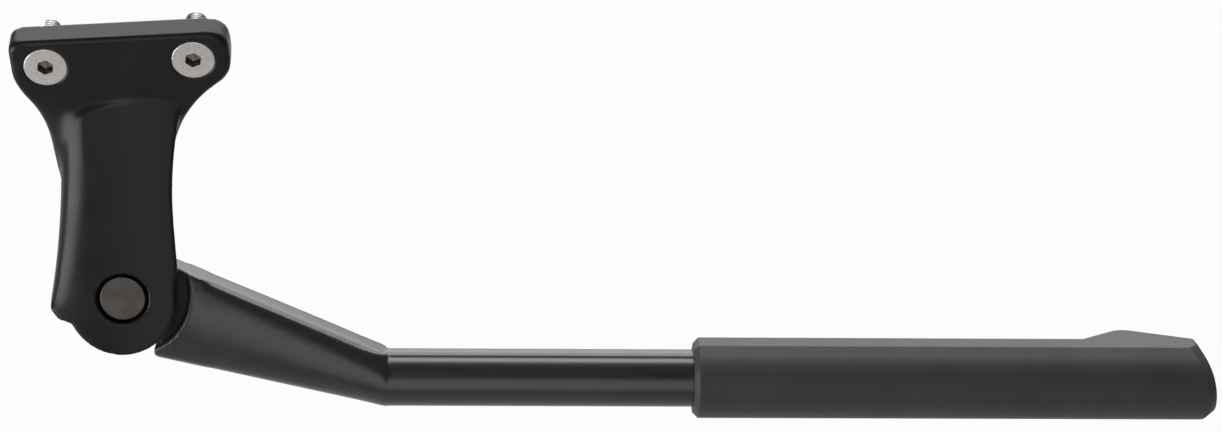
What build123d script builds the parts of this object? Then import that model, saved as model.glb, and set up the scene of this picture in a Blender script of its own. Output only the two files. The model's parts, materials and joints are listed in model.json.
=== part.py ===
from build123d import *
import math
import os

# Bicycle kickstand for the two-hole mount at the rear of a frame. Millimetres.
# Row frame: the origin is midway between the two screws on the back of the plate,
# +X runs towards the foot of the folded leg, +Y into the frame, +Z up.

# Plate and screws
HOLE_PITCH = 40.0
PLATE_LEFT = 29.4
PLATE_RIGHT = 30.0
PLATE_TOP = 8.5
PLATE_THICKNESS = 8.0
PLATE_CORNER_LEFT = 3.4
PLATE_CORNER_RIGHT = 5.6
PLATE_EDGE = 1.0
PLATE_SHOULDER_LEFT = 1.0
PLATE_SHOULDER_RIGHT = 1.2
FLANK_REACH = 30.5
FLANK_LEFT = 21.3
FLANK_RIGHT = 11.4
FLANK_CORNER_LEFT = 1.6
FLANK_CORNER_RIGHT = 3.1
FLANK_CORNER_DROP = 6.5
FLANK_RUN_LEFT = 14.0
FLANK_RUN_RIGHT = 3.9
SCREW_DIA = 6.0
SCREW_NECK_DIA = 5.35
SCREW_LENGTH = 20.0
SCREW_HEAD_DIA = 11.8
SCREW_SINK = 0.2
HEX_FLATS = 4.0
HEX_DEPTH = 2.4
SCREW_CLEAR = 0.2
HEAD_CLEAR = 0.35

# Pivot and casting
PIVOT_TILT = 20.0
PIVOT_X = -5.3
PIVOT_OUT = 18.7
PIVOT_DROP = 68.5
HEAD_DEPTH = 21.0
SLOT_WIDTH = 10.4
LUG_RADIUS = 15.2
LUG_ASIDE = 0.7
LUG_LOW = 1.5
LUG_TOP = 9.0
REAR_LUG_RADIUS = 14.4
CROWN_RADIUS = 110.0
COLUMN_TOP = 62.0
COLUMN_WAIST = 20.0
COLUMN_LEFT = 16.6
COLUMN_LEFT_TOP = 14.0
COLUMN_RIGHT = 16.0
COLUMN_RIGHT_TOP = 23.6
SIDE_DRAFT = 8.0
BEVEL_TOP = 9.2
BEVEL_FOOT = 4.0
BEVEL_EASE = 0.6
BEVEL_BITE = 0.3
LEDGE_DROP = 11.2
LEDGE_RADIUS = 38.0
LEDGE_REACH = 30.0
LEDGE_LEAN = 40.0
WALL_END = 6.9
WALL_TOE = 15.1
WALL_HEEL = 21.0
WALL_HEEL_DROP = 1.9
WALL_CORNER = 18.6
WALL_CORNER_DROP = 5.6

# Pin, bush, washers and retaining ring
PIN_DIA = 9.0
PIN_HEAD_DIA = 12.4
PIN_HEAD_HEIGHT = 2.5
PIN_RECESS_DIA = 14.4
PIN_RECESS_DEPTH = 3.0
PIN_END = 0.5
BUSH_DIA = 12.0
RUNNING_FIT = 0.03
THRUST_WASHER_DIA = 22.0
THRUST_WASHER = 0.8
THRUST_PLAY = 0.1
REAR_RECESS_DIA = 15.4
PIVOT_WASHER_DIA = 14.4
PIVOT_WASHER = 1.0
RING_DIA = 13.0
RING_GROOVE_DIA = 8.0
RING_THICKNESS = 1.0
RING_GAP = 5.0
GROOVE_PLAY = 0.05

# Leg
LEG_DIP = 3.45
HUB_RADIUS = 12.3
ROD_DROP = 26.85
ROD_RADIUS = 8.0
RAIL_TOP = 8.26
RAIL_HALF = 2.7
ROD_IN_FOOT = 101.6
ROD_CHAMFER = 1.0
ROOT_TOP_SLOPE = 23.7
ROOT_BOTTOM_SLOPE = 12.9
ROOT_START = 7.8
ROOT_CORNER = 2.0
ROOT_HALF_THICK = 7.5
ROOT_SWELL = 36.5
ROOT_STEP = 0.2
SHOULDER_RADIUS = 18.2
TONGUE_REACH = 26.0
TONGUE_LOWER_ANGLE = -100.0
LEG_TURN = 90.0
STOP_GAP = 0.5

# Detent
PLUNGER_DIA = 8.0
PLUNGER_TIP_DIA = 3.0
PLUNGER_LENGTH = 12.0
PLUNGER_CLEAR = 0.1
PLUNGER_LIFT = 1.2
DETENT_GAP = 0.15
SPRING_BORE = 11.5
SPRING_WIRE = 1.1
SPRING_DIA = 6.9
SPRING_TURNS = 4
SPRING_SIDES = 12

# Foot
FOOT_START = 160.4
FOOT_LENGTH = 150.0
FOOT_RADIUS = 11.2
FOOT_FLAT_TOP = 11.33
FOOT_FLAT_HALF = 3.5
FOOT_RIM = 1.5
FOOT_TIP_EDGE = 2.2
FOOT_HEEL = 2.6
FOOT_TIP_LEAN = 6.6
FOOT_TIP_SLOPE = 0.65
FOOT_TIP_LOW = 5.5
FOOT_CLEAR = 0.15
FOOT_TRAVEL = 15.0
BORE_SPARE = 3.0
TAB_FROM_TIP = 4.0
TAB_LENGTH = 33.4
TAB_RISE_LENGTH = 12.0
TAB_REACH = 12.2
TAB_NOSE = 6.0
TAB_TIP = 2.4
TAB_EDGE = 0.8

# Latch on the back of the foot
NOTCH_PITCH = 5.0
NOTCH_COUNT = 7
NOTCH_WIDTH = 3.5
NOTCH_DEPTH = 1.6
LATCH_IN_FOOT = 44.6
HOUSING_HALF = 6.2
HOUSING_BACK = 11.7
HOUSING_MARGIN = 4.0
HOUSING_EDGE = 1.0
TOOTH_WIDTH = 2.4
TOOTH_CLEAR = 0.2
LEVER_HALF = 3.9
LEVER_ARM = 12.0
LEVER_THICK = 2.5
LEVER_SINK = 0.6
THUMB_ARM = 12.0
THUMB_RISE = 2.0
THUMB_UNDERCUT = 2.1
THUMB_HEEL = 3.5
THUMB_EDGE = 0.6
WINDOW_SIDE = 0.4
WINDOW_END = 0.8
WINDOW_REACH = 2.5
POCKET_FLOOR = 1.25
LATCH_PIN_DIA = 1.5
LATCH_PIN_LENGTH = 10.8
LATCH_SPRING_THICK = 0.4
LATCH_SPRING_HALF = 2.4
LATCH_SPRING_GAP = 0.1
STOP_PIN_SETBACK = 16.0
STOP_PIN_DIA = 3.0
STOP_PIN_OUT = 1.3
STOP_PIN_IN = 5.0
STOP_GROOVE_CLEAR = 0.3

# Frames of the pivot and of the leg, both with z along the pivot towards the viewer
tilt = math.radians(PIVOT_TILT)
dip = math.radians(LEG_DIP)
pivot_centre = Vector(PIVOT_X, -PIVOT_OUT, -PIVOT_DROP)
pivot_axis = Vector(0, -math.cos(tilt), math.sin(tilt))
column_up = Vector(0, math.sin(tilt), math.cos(tilt))
leg_along = Vector(1, 0, 0) * math.cos(dip) - column_up * math.sin(dip)
pivot_frame = Plane(origin=pivot_centre, x_dir=(1, 0, 0), z_dir=pivot_axis)
leg_frame = Plane(origin=pivot_centre, x_dir=leg_along, z_dir=pivot_axis)

front = HEAD_DEPTH / 2
slot_half = SLOT_WIDTH / 2
tongue_half = slot_half - THRUST_WASHER - THRUST_PLAY
slot_radius = HUB_RADIUS + STOP_GAP
top_slope = math.radians(ROOT_TOP_SLOPE)
bottom_slope = math.radians(ROOT_BOTTOM_SLOPE)
root_radius = ROD_RADIUS + ROOT_STEP
bend = (HUB_RADIUS + (ROD_DROP - RAIL_TOP) * math.cos(top_slope)) / math.sin(top_slope)
washer_seat = -front + PIVOT_WASHER + RING_THICKNESS + GROOVE_PLAY + PIN_END
spring_seat = HUB_RADIUS + DETENT_GAP + PLUNGER_LENGTH
bore_radius = ROD_RADIUS + FOOT_CLEAR
foot_end = FOOT_START + FOOT_LENGTH
tab_finish = foot_end - TAB_FROM_TIP
tab_start = tab_finish - TAB_LENGTH
tab_peak = tab_start + TAB_RISE_LENGTH
rod_end = FOOT_START + ROD_IN_FOOT
stop_pin_at = rod_end - STOP_PIN_SETBACK
bore_end = rod_end + FOOT_TRAVEL + BORE_SPARE
latch_at = FOOT_START + LATCH_IN_FOOT
latch_axis = latch_at + LEVER_ARM
latch_end = latch_axis + THUMB_ARM
lever_back = HOUSING_BACK - LEVER_SINK
lever_face = lever_back - LEVER_THICK
pocket_floor = bore_radius + POCKET_FLOOR
thumb_under = pocket_floor + THUMB_UNDERCUT


def prism(outline, low, high):
    """A flat outline in the XY plane, carried along Z from low to high."""
    return extrude(Pos(0, 0, low) * outline, amount=high - low)


def polygon(*points):
    """A straight-sided outline in the XY plane."""
    return make_face(Polyline(*points, close=True))


def disc(radius, low, high):
    """A round bar about Z from low to high."""
    return prism(Circle(radius), low, high)


def polar(radius, angle, start=(0, 0)):
    """The point at a distance and an angle in degrees from the pivot or another start."""
    turn = math.radians(angle)
    return (start[0] + radius * math.cos(turn), start[1] + radius * math.sin(turn))


def across(along):
    """The section plane of the leg at a distance from the pivot: x to the back, y up."""
    return Plane(origin=(along, 0, 0), x_dir=(0, 0, -1), z_dir=(1, 0, 0))


def in_row(shape, frame):
    """A shape built in the pivot's or the leg's frame, set in the row frame."""
    return frame.location * shape


def plate():
    """The two-hole plate with rounded corners, running down into the column in two curves."""
    top_left = (-PLATE_LEFT + PLATE_CORNER_LEFT, PLATE_TOP)
    top_right = (PLATE_RIGHT - PLATE_CORNER_RIGHT, PLATE_TOP)
    left = (-PLATE_LEFT, PLATE_TOP - PLATE_CORNER_LEFT)
    right = (PLATE_RIGHT, PLATE_TOP - PLATE_CORNER_RIGHT)
    left_low = (-PLATE_LEFT, -PLATE_SHOULDER_LEFT)
    right_low = (PLATE_RIGHT, -PLATE_SHOULDER_RIGHT)
    left_turn = (left_low[0] + FLANK_CORNER_LEFT, left_low[1] - FLANK_CORNER_DROP)
    right_turn = (right_low[0] - FLANK_CORNER_RIGHT, right_low[1] - FLANK_CORNER_DROP)
    left_corner = TangentArc(left_low, left_turn, tangent=(0, -1))
    right_corner = TangentArc(right_low, right_turn, tangent=(0, -1))
    left_flank = TangentArc(left_turn, (-FLANK_LEFT, -FLANK_REACH), tangent=left_corner % 1)
    left_end = left_flank @ 1 + (left_flank % 1) * FLANK_RUN_LEFT
    right_start = right_corner @ 1 + (right_corner % 1) * FLANK_RUN_RIGHT
    right_end = (FLANK_RIGHT, -FLANK_REACH)
    outline = [
        Line(top_left, top_right),
        RadiusArc(top_right, right, PLATE_CORNER_RIGHT),
        Line(right, right_low),
        right_corner,
        Line(right_turn, right_start),
        TangentArc(right_start, right_end, tangent=right_corner % 1),
        Line(right_end, left_end),
        Line(left_flank @ 1, left_end),
        left_flank,
        left_corner,
        Line(left_low, left),
        RadiusArc(left, top_left, PLATE_CORNER_LEFT),
    ]
    slab = extrude(Plane.XZ * make_face(outline), amount=PLATE_THICKNESS)
    rim = slab.faces().sort_by(Axis.Y)[0].edges()
    closing = rim.sort_by_distance((0, -PLATE_THICKNESS, -FLANK_REACH - FLANK_RUN_LEFT))[0]
    return chamfer([edge for edge in rim if edge != closing], PLATE_EDGE)


def crown(across_x):
    """How far the crowned front of the column stands out from the pivot's middle."""
    return front - CROWN_RADIUS + math.sqrt(CROWN_RADIUS**2 - across_x**2)


def bevel_section(edge, heading, size):
    """The corner that the soft bevel takes off at one level of the left front edge."""
    lean = size * -edge.X / CROWN_RADIUS
    start = (-BEVEL_BITE, size)
    finish = (size, -lean - BEVEL_BITE)
    outside = (-size, -2 * size)
    rest = Polyline(finish, (size, outside[1]), outside, (outside[0], size), start)
    outline = [TangentArc(start, finish, tangent=(0, -1)), rest]
    return Plane(origin=edge, x_dir=(1, 0, 0), z_dir=heading) * make_face(outline)


def column():
    """The column with the lugs still solid, in the pivot frame."""
    heel = (-WALL_HEEL, -WALL_HEEL_DROP)
    waist = (-COLUMN_LEFT, COLUMN_WAIST)
    left_top = (-COLUMN_LEFT_TOP, COLUMN_TOP)
    right_top = (COLUMN_RIGHT_TOP, COLUMN_TOP)
    right = (COLUMN_RIGHT, COLUMN_WAIST)
    flank = TangentArc(right, right_top, tangent=(0, 1))
    toe = (-WALL_TOE, -WALL_END)
    lug_side = math.sqrt(LUG_RADIUS**2 - LUG_LOW**2) - LUG_ASIDE
    outline = make_face(
        [
            ThreePointArc(heel, waist, left_top),
            Line(left_top, right_top),
            flank,
            Polyline(right, (COLUMN_RIGHT, LUG_TOP), (lug_side, 0), (0, 0), (0, -WALL_END), toe),
            Polyline(toe, (-WALL_CORNER, -WALL_CORNER_DROP), heel),
        ]
    )
    far = (2 * COLUMN_RIGHT_TOP, COLUMN_TOP)
    beside = make_face([flank, Polyline(right_top, far, (far[0], 0), (COLUMN_RIGHT, 0), right)])
    draft = math.radians(SIDE_DRAFT)
    inward = (-math.sin(draft), 0, -math.cos(draft))
    side = extrude(Pos(0, 0, front) * beside, amount=HEAD_DEPTH / math.cos(draft), dir=inward)
    body = prism(outline, -front, front) - side
    lug = Pos(-LUG_ASIDE, -LUG_LOW, 0) * disc(LUG_RADIUS, 0, front)
    body = body + lug + disc(REAR_LUG_RADIUS, -front, 0)
    barrel = Rot(X=-90) * disc(CROWN_RADIUS, -2 * LUG_RADIUS, COLUMN_TOP)
    body = body & (Pos(0, 0, front - CROWN_RADIUS) * barrel)
    ridge = [(x, y, crown(x)) for x, y in (heel, waist, left_top)]
    path = ThreePointArc(*ridge)
    levels = []
    for share in (0, 0.5, 1):
        size = BEVEL_FOOT + (BEVEL_TOP - BEVEL_FOOT) * share**BEVEL_EASE
        levels.append(bevel_section(path @ share, path % share, size))
    return body - loft(levels)


def slot():
    """The room for the leg's tongue between the lugs, from folded to deployed."""
    upper = 90 - ROOT_TOP_SLOPE - LEG_DIP
    lower = TONGUE_LOWER_ANGLE - LEG_DIP - LEG_TURN
    far = 4 * LUG_RADIUS
    fold = polar(slot_radius, upper)
    stand = polar(slot_radius, lower)
    sector = polygon(
        (0, 0),
        fold,
        polar(far, upper - 90, fold),
        (far, -far),
        polar(far, lower + 90, stand),
        stand,
    )
    return prism(sector + Circle(slot_radius), -slot_half, slot_half)


def mounting_head():
    """The casting: plate, column, two lugs and the wall that closes the slot on the left."""
    core = in_row(column(), pivot_frame)
    ledge = Plane.XZ * polygon(
        (-2 * LEDGE_REACH, PLATE_TOP),
        (2 * LEDGE_REACH, PLATE_TOP),
        (2 * LEDGE_REACH, -LEDGE_REACH),
        (-2 * LEDGE_REACH, -LEDGE_REACH),
    )
    rise = HEAD_DEPTH * math.tan(math.radians(LEDGE_LEAN))
    lift = (Align.CENTER, Align.CENTER, Align.MIN)
    cone = Cone(LEDGE_RADIUS, LEDGE_RADIUS - rise, HEAD_DEPTH, align=lift)
    arch = Plane.XZ.location * Pos(0, -LEDGE_DROP - LEDGE_RADIUS, 0) * cone
    above = extrude(ledge, amount=HEAD_DEPTH) - arch
    core = core - Pos(0, -PLATE_THICKNESS, 0) * above
    reach = 4 * PLATE_RIGHT
    behind = Pos(0, reach / 2, -PIVOT_DROP) * Box(2 * reach, reach, 4 * reach)
    core = core - behind
    top = Pos(0, 0, reach / 2 + PLATE_TOP - PLATE_CORNER_RIGHT) * Box(2 * reach, reach, reach)
    body = plate() + (core - top)
    recess = disc(PIN_RECESS_DIA / 2, front - PIN_RECESS_DEPTH, 2 * front)
    rear = disc(REAR_RECESS_DIA / 2, -2 * front, washer_seat)
    bore = disc(PIN_DIA / 2 + RUNNING_FIT, -2 * front, 2 * front)
    guide = Rot(X=-90) * disc(PLUNGER_DIA / 2 + PLUNGER_CLEAR, 0, spring_seat + SPRING_BORE)
    for cut in (slot(), recess, rear, bore, guide):
        body = body - in_row(cut, pivot_frame)
    for hole_x in (-HOLE_PITCH / 2, HOLE_PITCH / 2):
        body = body - Pos(hole_x, 0, 0) * screw_hole()
    return body


def screw_hole():
    """The clearance hole and countersink for one screw, about the Y axis at the row origin."""
    radius = SCREW_DIA / 2 + SCREW_CLEAR
    head = SCREW_HEAD_DIA / 2 + HEAD_CLEAR
    mouth = PLATE_THICKNESS - SCREW_SINK + HEAD_CLEAR
    neck = mouth - (head - radius)
    far = 2 * PLATE_THICKNESS
    points = [(0, far), (head, far), (head, mouth), (radius, neck), (radius, -far), (0, -far)]
    return Rot(X=90) * revolve(Plane.XZ * polygon(*points), Axis.Z)


def screw():
    """One countersunk screw with a hexagon socket, about the Y axis at the row origin."""
    radius = SCREW_DIA / 2
    waist = SCREW_NECK_DIA / 2
    head = SCREW_HEAD_DIA / 2
    face = PLATE_THICKNESS - SCREW_SINK
    neck = face - (head - waist)
    tail = SCREW_LENGTH - face
    points = [(0, face), (head, face), (waist, neck), (waist, 0), (radius, 0)]
    points += [(radius, -tail), (0, -tail)]
    hexagon = RegularPolygon(HEX_FLATS / 2, 6, major_radius=False)
    socket = prism(hexagon, face - HEX_DEPTH, 2 * face)
    return Rot(X=90) * (revolve(Plane.XZ * polygon(*points), Axis.Z) - socket)


def mounting_screws():
    """The two screws, one hole pitch apart."""
    return [Pos(x, 0, 0) * screw() for x in (-HOLE_PITCH / 2, HOLE_PITCH / 2)]


def pivot_pin():
    """The shouldered pin, with a flat head in front and a ring groove at the back."""
    seat = front - PIN_RECESS_DEPTH
    head = disc(PIN_HEAD_DIA / 2, seat, seat + PIN_HEAD_HEIGHT)
    shank = disc(PIN_DIA / 2, -front, seat)
    low = washer_seat - PIVOT_WASHER - RING_THICKNESS - GROOVE_PLAY
    width = RING_THICKNESS + GROOVE_PLAY
    groove = disc(PIN_DIA, low, low + width) - disc(RING_GROOVE_DIA / 2, low, low + width)
    return head + shank - groove


def pivot_washer():
    """The flat washer under the retaining ring."""
    outer = disc(PIVOT_WASHER_DIA / 2, washer_seat - PIVOT_WASHER, washer_seat)
    return outer - disc(PIN_DIA / 2 + RUNNING_FIT, -2 * front, 2 * front)


def retaining_ring():
    """The open spring ring in the pin's groove."""
    low = washer_seat - PIVOT_WASHER - RING_THICKNESS
    ring = disc(RING_DIA / 2, low, low + RING_THICKNESS)
    ring = ring - disc(RING_GROOVE_DIA / 2 + RUNNING_FIT, -2 * front, 2 * front)
    return ring - Pos(0, -RING_DIA / 2, low) * Box(RING_GAP, RING_DIA, 4 * RING_THICKNESS)


def thrust_washer(side):
    """The thin washer between the hub and one lug."""
    low = tongue_half if side > 0 else -tongue_half - THRUST_WASHER
    ring = disc(THRUST_WASHER_DIA / 2, low, low + THRUST_WASHER)
    return ring - disc(PIN_DIA / 2 + RUNNING_FIT, -2 * front, 2 * front)


def pivot_bush():
    """The plain bearing bush in the hub."""
    outer = disc(BUSH_DIA / 2, -tongue_half, tongue_half)
    return outer - disc(PIN_DIA / 2 + RUNNING_FIT, -2 * front, 2 * front)


def detent_plunger():
    """The plunger with its conical nose, shown lifted just clear of the hub."""
    nose = HUB_RADIUS + DETENT_GAP
    bar = disc(PLUNGER_DIA / 2, nose, nose + PLUNGER_LENGTH)
    taper = (PLUNGER_DIA - PLUNGER_TIP_DIA) / 2
    return Rot(X=-90) * chamfer(bar.edges().sort_by(Axis.Z)[0], taper)


def detent_spring():
    """The coil spring above the plunger, in square wire bent in short straight lengths."""
    mean = (SPRING_DIA - SPRING_WIRE) / 2
    step = 360 / SPRING_SIDES
    rise = (SPRING_BORE - 2 * SPRING_WIRE) / (SPRING_SIDES * SPRING_TURNS)
    count = SPRING_SIDES * SPRING_TURNS + 1
    bends = [(*polar(mean, index * step), SPRING_WIRE + index * rise) for index in range(count)]
    path = Polyline(*bends)
    wire = Plane(origin=path @ 0, x_dir=(0, 0, 1), z_dir=path % 0) * Rectangle(SPRING_WIRE, SPRING_WIRE)
    coil = sweep(wire, path=path, transition=Transition.RIGHT)
    return Rot(X=-90) * Pos(0, 0, spring_seat) * coil


def root_top(along):
    """The height of the root's flat top, which runs off the hub in a straight line."""
    return (HUB_RADIUS - along * math.sin(top_slope)) / math.cos(top_slope)


def root_bottom(along):
    """The height of the root's underside, which runs into the rod's at the bend."""
    return -ROD_DROP - root_radius + (bend - along) * math.tan(bottom_slope)


def root_cheek(side):
    """A cone that swells one side of the root: nearly flat at the hub, as round as the rod at the bend."""
    middle = (root_top(ROOT_START) + root_bottom(ROOT_START)) / 2
    near = Vector(ROOT_START, middle, side * ROOT_HALF_THICK)
    far = Vector(bend, -ROD_DROP, side * root_radius)
    run = far - near
    flare = math.atan((ROOT_SWELL - root_radius) / run.length)
    along = run.normalized()
    inward = (Vector(0, 0, -side) - along * along.dot(Vector(0, 0, -side))).normalized()
    tip = far + along * (root_radius / math.tan(flare))
    back = inward * math.sin(flare) - along * math.cos(flare)
    height = 2 * run.length
    base = Plane(origin=tip + back * height, z_dir=-back)
    lift = (Align.CENTER, Align.CENTER, Align.MIN)
    return base.location * Cone(height * math.tan(flare), 0, height, align=lift)


def root():
    """The tapered root: straight top and underside, swelling cheeks and a round keel."""
    profile = polygon(
        (ROOT_START, root_top(ROOT_START)),
        (bend, root_top(bend)),
        (bend, root_bottom(bend)),
        (ROOT_START, root_bottom(ROOT_START)),
    )
    corner = profile.vertices().sort_by_distance((ROOT_START, root_bottom(ROOT_START)))[0]
    body = prism(fillet(corner, ROOT_CORNER), -2 * root_radius, 2 * root_radius)
    lift = root_radius / math.cos(bottom_slope)
    start = Vector(0, root_bottom(0) + lift, 0)
    finish = Vector(2 * bend, root_bottom(2 * bend) + lift, 0)
    keel_line = Plane(origin=start, z_dir=finish - start)
    keel = keel_line.location * disc(root_radius, 0, (finish - start).length)
    over = polygon((0, start.Y), (2 * bend, finish.Y), (2 * bend, ROD_DROP), (0, ROD_DROP))
    keel = keel + prism(over, -2 * root_radius, 2 * root_radius)
    return body & keel & root_cheek(1) & root_cheek(-1)


def tongue():
    """The tongue with its round hub, as thick as the slot allows between the washers."""
    upper = 90 - ROOT_TOP_SLOPE
    lower = TONGUE_LOWER_ANGLE
    high = polar(HUB_RADIUS, upper)
    low = polar(HUB_RADIUS, lower)
    high_end = polar(TONGUE_REACH, upper - 90, high)
    low_end = polar(TONGUE_REACH, lower + 90, low)
    flat = polygon((0, 0), high, high_end, low_end, low)
    return prism(flat + Circle(HUB_RADIUS), -tongue_half, tongue_half)


def rod_profile(clear):
    """The round rod with its raised flat rail, or with a clearance the bore for it."""
    top = RAIL_TOP + clear
    rail = Pos(0, top / 2) * Rectangle(2 * (RAIL_HALF + clear), top)
    return Pos(0, -ROD_DROP) * (Circle(ROD_RADIUS + clear) + rail)


def detents():
    """Two grooves across the hub, under the plunger when folded and when deployed."""
    floor = HUB_RADIUS - PLUNGER_LIFT
    half = PLUNGER_TIP_DIA / 2 + DETENT_GAP
    mouth = half + 2 * PLUNGER_LIFT
    top = floor + 2 * PLUNGER_LIFT
    groove = polygon((-half, floor), (half, floor), (mouth, top), (-mouth, top))
    across_hub = prism(groove, -tongue_half, tongue_half)
    return [Rot(Z=LEG_DIP + turn) * across_hub for turn in (0, LEG_TURN)]


def leg():
    """The forged leg: tongue and hub, tapered root with a hollow shoulder, rod with notches."""
    thick = root() - disc(SHOULDER_RADIUS, -HEAD_DEPTH, HEAD_DEPTH)
    rod = extrude(across(bend) * rod_profile(0), amount=rod_end - bend)
    rod = chamfer(rod.faces().sort_by(Axis.X)[-1].edges(), ROD_CHAMFER)
    body = thick + rod + tongue()
    body = body - disc(BUSH_DIA / 2, -HEAD_DEPTH, HEAD_DEPTH)
    for groove in detents():
        body = body - groove
    notch = Box(NOTCH_WIDTH, 2 * ROD_RADIUS, 2 * NOTCH_DEPTH)
    middle = (NOTCH_COUNT - 1) / 2
    for index in range(NOTCH_COUNT):
        along = latch_at + (index - middle) * NOTCH_PITCH
        body = body - Pos(along, -ROD_DROP, -ROD_RADIUS) * notch
    hole = disc(STOP_PIN_DIA / 2, -ROD_RADIUS - STOP_PIN_OUT, STOP_PIN_IN - ROD_RADIUS)
    return body - Pos(stop_pin_at, -ROD_DROP, 0) * hole


def stop_pin():
    """The short pin in the back of the rod that limits the foot's travel."""
    bar = disc(STOP_PIN_DIA / 2, -ROD_RADIUS - STOP_PIN_OUT, STOP_PIN_IN - ROD_RADIUS)
    return Pos(stop_pin_at, -ROD_DROP, 0) * bar


def foot_shell():
    """The outside of the foot: round below, flat on top, with a tab at the back near its tip."""
    flat = polygon(
        (-FOOT_FLAT_HALF, 0),
        (FOOT_FLAT_HALF, 0),
        (FOOT_FLAT_HALF, FOOT_FLAT_TOP),
        (-FOOT_FLAT_HALF, FOOT_FLAT_TOP),
    )
    corner = math.hypot(FOOT_FLAT_HALF, FOOT_FLAT_TOP)
    slant = math.atan2(FOOT_FLAT_TOP, FOOT_FLAT_HALF) - math.acos(FOOT_RADIUS / corner)
    touch = (FOOT_RADIUS * math.cos(slant), FOOT_RADIUS * math.sin(slant))
    shoulder = polygon(
        (0, 0),
        touch,
        (FOOT_FLAT_HALF, FOOT_FLAT_TOP),
        (-FOOT_FLAT_HALF, FOOT_FLAT_TOP),
        (-touch[0], touch[1]),
    )
    profile = Pos(0, -ROD_DROP) * (Circle(FOOT_RADIUS) + flat + shoulder)
    shell = extrude(across(FOOT_START) * profile, amount=foot_end - FOOT_START)
    return shell + foot_tab()


def foot_tab():
    """The tab: a plan with straight sides and a round peak, thinning towards the back."""
    plan = polygon(
        (tab_start, 0),
        (tab_finish, 0),
        (tab_finish, FOOT_FLAT_HALF),
        (tab_peak, TAB_REACH),
        (tab_start, FOOT_FLAT_HALF),
    )
    peak = plan.vertices().sort_by(Axis.Y)[-1]
    slab = Rot(X=-90) * prism(fillet(peak, TAB_NOSE), 0, FOOT_FLAT_TOP)
    thin = polygon(
        (0, 0),
        (FOOT_RADIUS / 2, 0),
        (TAB_REACH + TAB_EDGE, FOOT_FLAT_TOP - TAB_TIP),
        (TAB_REACH + TAB_EDGE, FOOT_FLAT_TOP),
        (0, FOOT_FLAT_TOP),
    )
    side = extrude(across(tab_start) * thin, amount=tab_finish - tab_start)
    return Pos(0, -ROD_DROP, 0) * (slab & side)


def foot_tip():
    """What is left of the foot's end: a leaning curve that runs into a small heel."""
    high = FOOT_FLAT_TOP + TAB_EDGE
    low = -FOOT_RADIUS - TAB_EDGE
    crest = (foot_end - FOOT_TIP_LEAN, high)
    waist = (foot_end, -FOOT_TIP_LOW)
    heel = (foot_end - FOOT_HEEL, low)
    start = FOOT_START - FOOT_RIM
    outline = [
        Line((start, high), crest),
        Spline(crest, waist, tangents=[(1, -FOOT_TIP_SLOPE), (0.05, -1)]),
        Spline(waist, heel, tangents=[(0.05, -1), (-1, -1)]),
        Line(heel, (start, low)),
        Line((start, low), (start, high)),
    ]
    return Pos(0, -ROD_DROP, 0) * prism(make_face(outline), -2 * FOOT_RADIUS, 2 * FOOT_RADIUS)


def latch_housing():
    """The flat-backed block that carries the latch, with rounded edges."""
    length = latch_end - latch_at + 2 * HOUSING_MARGIN
    block = Box(length, 2 * HOUSING_HALF, HOUSING_BACK, align=(Align.MIN, Align.CENTER, Align.MAX))
    block = fillet(block.faces().sort_by(Axis.Z)[0].edges(), HOUSING_EDGE)
    return Pos(latch_at - HOUSING_MARGIN, -ROD_DROP, 0) * block


def latch_room(start, end, floor):
    """A straight-sided cut through the back of the foot, down to a floor."""
    width = 2 * (LEVER_HALF + WINDOW_SIDE)
    room = Box(end - start, width, HOUSING_BACK, align=(Align.MIN, Align.CENTER, Align.MAX))
    return Pos(start, -ROD_DROP, -floor) * room


def foot_sleeve():
    """The moulded foot with its bore, latch window, spring pocket and stop groove."""
    body = foot_shell() & foot_tip()
    mouth = body.faces().sort_by(Axis.X)[0].edges()
    body = chamfer(mouth, FOOT_RIM)
    ends = body.edges().filter_by(lambda edge: edge.center().X > foot_end - FOOT_TIP_LEAN / 2)
    waist = ends.filter_by(Axis.Z).sort_by(Axis.Y)[0]
    tip = [edge for edge in ends.filter_by(Axis.X, reverse=True) if edge != waist]
    body = chamfer(tip, FOOT_TIP_EDGE) + latch_housing()
    body = body - extrude(across(FOOT_START) * rod_profile(FOOT_CLEAR), amount=bore_end - FOOT_START)
    start = latch_at - TOOTH_WIDTH / 2 - WINDOW_END
    body = body - latch_room(start, latch_axis + WINDOW_REACH, 0)
    body = body - latch_room(start, latch_end + WINDOW_END, pocket_floor)
    body = body - latch_pin()
    run = SlotCenterToCenter(2 * FOOT_TRAVEL, STOP_PIN_DIA + 2 * STOP_GROOVE_CLEAR)
    depth = ROD_RADIUS + STOP_PIN_OUT + STOP_GROOVE_CLEAR
    return body - Pos(stop_pin_at, -ROD_DROP, 0) * prism(run, -depth, 0)


def in_latch(shape):
    """A shape about Z, set on the latch's axis across the back of the foot."""
    return Pos(latch_axis, -ROD_DROP, (LEVER_THICK / 2) - lever_back) * Rot(X=-90) * shape


def on_back(outline, half):
    """An outline of length and depth to the back, carried to both sides of the rod's axis."""
    return Pos(0, -ROD_DROP, 0) * Rot(X=-90) * prism(outline, -half, half)


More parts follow.
